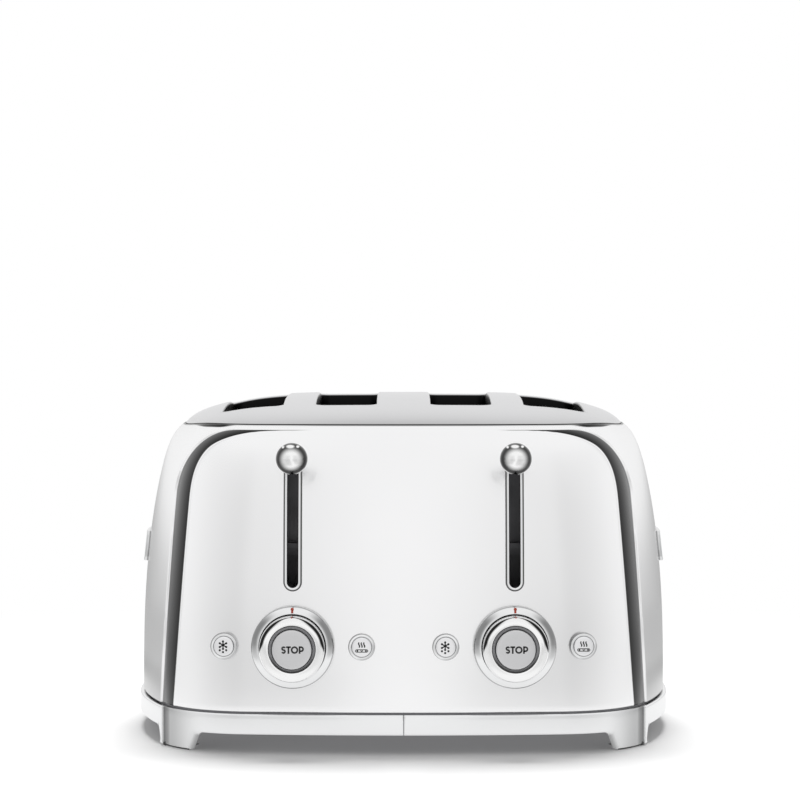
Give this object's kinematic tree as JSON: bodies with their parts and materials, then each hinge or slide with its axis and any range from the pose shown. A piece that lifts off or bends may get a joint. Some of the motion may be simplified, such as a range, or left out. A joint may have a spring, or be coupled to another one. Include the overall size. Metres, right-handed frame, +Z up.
{
  "type": "retro toaster",
  "caption": "Retro toaster with long slots in a domed top, ball levers, dials with stop buttons, small push buttons, crumb trays at the rear and a footed base ring.",
  "frame": {"origin": "on the worktop plane, under the middle of the toaster's bounding box", "axes": "+Z up, front with dials and levers towards -Y, +X to the right seen from the front"},
  "size_m": [0.332, 0.3318, 0.2078],
  "materials": {
    "mirror_steel": "polished stainless steel, mirror finish",
    "satin_steel": "fine satin brushed",
    "cast_chrome": "chromed die casting, satin",
    "knob_chrome": "polished chrome",
    "trim_chrome": "polished chrome",
    "sheet_steel": "plain galvanised sheet",
    "wire_chrome": "bright wire",
    "black_plastic": "fine texture",
    "button_face": "satin",
    "dark_gloss": "gloss",
    "rubber": "matt",
    "mica": "mica sheet with flat resistance ribbon",
    "circuit_board": "solder mask",
    "magnet_iron": "laminated iron and copper coil",
    "spring_steel": "zinc plated wire",
    "screw_steel": "zinc plated"
  },
  "bodies": {
    "root": {"front_panel": "mirror_steel", "rear_panel": "mirror_steel", "side_wrap_left": "mirror_steel", "side_wrap_right": "mirror_steel", "top_panel": "satin_steel", "base_ring_left": "cast_chrome", "base_ring_right": "cast_chrome", "foot_pads": "rubber", "base_plate": "sheet_steel", "front_frame": "sheet_steel", "rear_frame": "sheet_steel", "guide_rods": "sheet_steel", "screws": "screw_steel", "cord_gland": "black_plastic", "button_bezels": "trim_chrome", "heaters_left": "mica", "heaters_right": "mica", "lever_trim_left": "trim_chrome", "latch_magnet_left": "magnet_iron", "return_spring_left": "spring_steel", "dial_bezel_left": "trim_chrome", "stop_housing_left": "dark_gloss", "control_board_left": "circuit_board", "side_badge_left": "trim_chrome", "lever_trim_right": "trim_chrome", "latch_magnet_right": "magnet_iron", "return_spring_right": "spring_steel", "dial_bezel_right": "trim_chrome", "stop_housing_right": "dark_gloss", "control_board_right": "circuit_board", "side_badge_right": "trim_chrome"},
    "lever_left": {"carriage_left": "sheet_steel", "armature_left": "magnet_iron", "lever_knob_left": "knob_chrome", "bread_rack_1": "wire_chrome", "bread_rack_2": "wire_chrome"},
    "guide_1_left": {"bread_guide_1_left": "wire_chrome"},
    "guide_1_right": {"bread_guide_1_right": "wire_chrome"},
    "guide_2_left": {"bread_guide_2_left": "wire_chrome"},
    "guide_2_right": {"bread_guide_2_right": "wire_chrome"},
    "dial_left": {"dial_knob_left": "knob_chrome"},
    "stop_left": {"stop_button_left": "button_face"},
    "defrost_left": {"defrost_button_left": "button_face"},
    "reheat_left": {"reheat_button_left": "button_face"},
    "tray_left": {"crumb_tray_left": "satin_steel"},
    "lever_right": {"carriage_right": "sheet_steel", "armature_right": "magnet_iron", "lever_knob_right": "knob_chrome", "bread_rack_3": "wire_chrome", "bread_rack_4": "wire_chrome"},
    "guide_3_left": {"bread_guide_3_left": "wire_chrome"},
    "guide_3_right": {"bread_guide_3_right": "wire_chrome"},
    "guide_4_left": {"bread_guide_4_left": "wire_chrome"},
    "guide_4_right": {"bread_guide_4_right": "wire_chrome"},
    "dial_right": {"dial_knob_right": "knob_chrome"},
    "stop_right": {"stop_button_right": "button_face"},
    "defrost_right": {"defrost_button_right": "button_face"},
    "reheat_right": {"reheat_button_right": "button_face"},
    "tray_right": {"crumb_tray_right": "satin_steel"}
  },
  "joints": [
    {"name": "lever_left_slide", "type": "slide", "parent": "root", "child": "lever_left", "axis": [0, 0, -1], "range_m": [0, 0.07], "stiffness_N_per_m": 40, "springref_m": -0.12, "deforming": ["return_spring_left"]},
    {"name": "guide_1_left_tilt", "type": "hinge", "parent": "root", "child": "guide_1_left", "pos_m": [-0.1075, 0.0014, 0.05], "axis": [0, 1, 0], "range_deg": [0, 3.6]},
    {"name": "guide_1_right_tilt", "type": "hinge", "parent": "root", "child": "guide_1_right", "pos_m": [-0.0765, 0.0014, 0.05], "axis": [0, -1, 0], "range_deg": [0, 3.6]},
    {"name": "guide_2_left_tilt", "type": "hinge", "parent": "root", "child": "guide_2_left", "pos_m": [-0.0505, 0.0014, 0.05], "axis": [0, 1, 0], "range_deg": [0, 3.6]},
    {"name": "guide_2_right_tilt", "type": "hinge", "parent": "root", "child": "guide_2_right", "pos_m": [-0.0195, 0.0014, 0.05], "axis": [0, -1, 0], "range_deg": [0, 3.6]},
    {"name": "dial_left_turn", "type": "hinge", "parent": "root", "child": "dial_left", "pos_m": [-0.0653, -0.1456, 0.0635], "axis": [0, 1, 0], "range_deg": [-135, 135]},
    {"name": "stop_left_press", "type": "slide", "parent": "root", "child": "stop_left", "axis": [0, 1, 0], "range_m": [0, 0.0015], "stiffness_N_per_m": 600, "springref_m": -0.001},
    {"name": "defrost_left_press", "type": "slide", "parent": "root", "child": "defrost_left", "axis": [0, 1, 0], "range_m": [0, 0.0012], "stiffness_N_per_m": 500, "springref_m": -0.001},
    {"name": "reheat_left_press", "type": "slide", "parent": "root", "child": "reheat_left", "axis": [0, 1, 0], "range_m": [0, 0.0012], "stiffness_N_per_m": 500, "springref_m": -0.001},
    {"name": "tray_left_slide", "type": "slide", "parent": "root", "child": "tray_left", "axis": [0, 1, 0], "range_m": [0, 0.2]},
    {"name": "lever_right_slide", "type": "slide", "parent": "root", "child": "lever_right", "axis": [0, 0, -1], "range_m": [0, 0.07], "stiffness_N_per_m": 40, "springref_m": -0.12, "deforming": ["return_spring_right"]},
    {"name": "guide_3_left_tilt", "type": "hinge", "parent": "root", "child": "guide_3_left", "pos_m": [0.0195, 0.0014, 0.05], "axis": [0, 1, 0], "range_deg": [0, 3.6]},
    {"name": "guide_3_right_tilt", "type": "hinge", "parent": "root", "child": "guide_3_right", "pos_m": [0.0505, 0.0014, 0.05], "axis": [0, -1, 0], "range_deg": [0, 3.6]},
    {"name": "guide_4_left_tilt", "type": "hinge", "parent": "root", "child": "guide_4_left", "pos_m": [0.0765, 0.0014, 0.05], "axis": [0, 1, 0], "range_deg": [0, 3.6]},
    {"name": "guide_4_right_tilt", "type": "hinge", "parent": "root", "child": "guide_4_right", "pos_m": [0.1075, 0.0014, 0.05], "axis": [0, -1, 0], "range_deg": [0, 3.6]},
    {"name": "dial_right_turn", "type": "hinge", "parent": "root", "child": "dial_right", "pos_m": [0.0653, -0.1456, 0.0635], "axis": [0, 1, 0], "range_deg": [-135, 135]},
    {"name": "stop_right_press", "type": "slide", "parent": "root", "child": "stop_right", "axis": [0, 1, 0], "range_m": [0, 0.0015], "stiffness_N_per_m": 600, "springref_m": -0.001},
    {"name": "defrost_right_press", "type": "slide", "parent": "root", "child": "defrost_right", "axis": [0, 1, 0], "range_m": [0, 0.0012], "stiffness_N_per_m": 500, "springref_m": -0.001},
    {"name": "reheat_right_press", "type": "slide", "parent": "root", "child": "reheat_right", "axis": [0, 1, 0], "range_m": [0, 0.0012], "stiffness_N_per_m": 500, "springref_m": -0.001},
    {"name": "tray_right_slide", "type": "slide", "parent": "root", "child": "tray_right", "axis": [0, 1, 0], "range_m": [0, 0.2]}
  ],
  "couplings": [
    {"joint": "guide_1_left_tilt", "follows": "lever_left_slide", "rad_per_m": 0.8727},
    {"joint": "guide_1_right_tilt", "follows": "lever_left_slide", "rad_per_m": 0.8727},
    {"joint": "guide_2_left_tilt", "follows": "lever_left_slide", "rad_per_m": 0.8727},
    {"joint": "guide_2_right_tilt", "follows": "lever_left_slide", "rad_per_m": 0.8727},
    {"joint": "guide_3_left_tilt", "follows": "lever_right_slide", "rad_per_m": 0.8727},
    {"joint": "guide_3_right_tilt", "follows": "lever_right_slide", "rad_per_m": 0.8727},
    {"joint": "guide_4_left_tilt", "follows": "lever_right_slide", "rad_per_m": 0.8727},
    {"joint": "guide_4_right_tilt", "follows": "lever_right_slide", "rad_per_m": 0.8727}
  ]
}
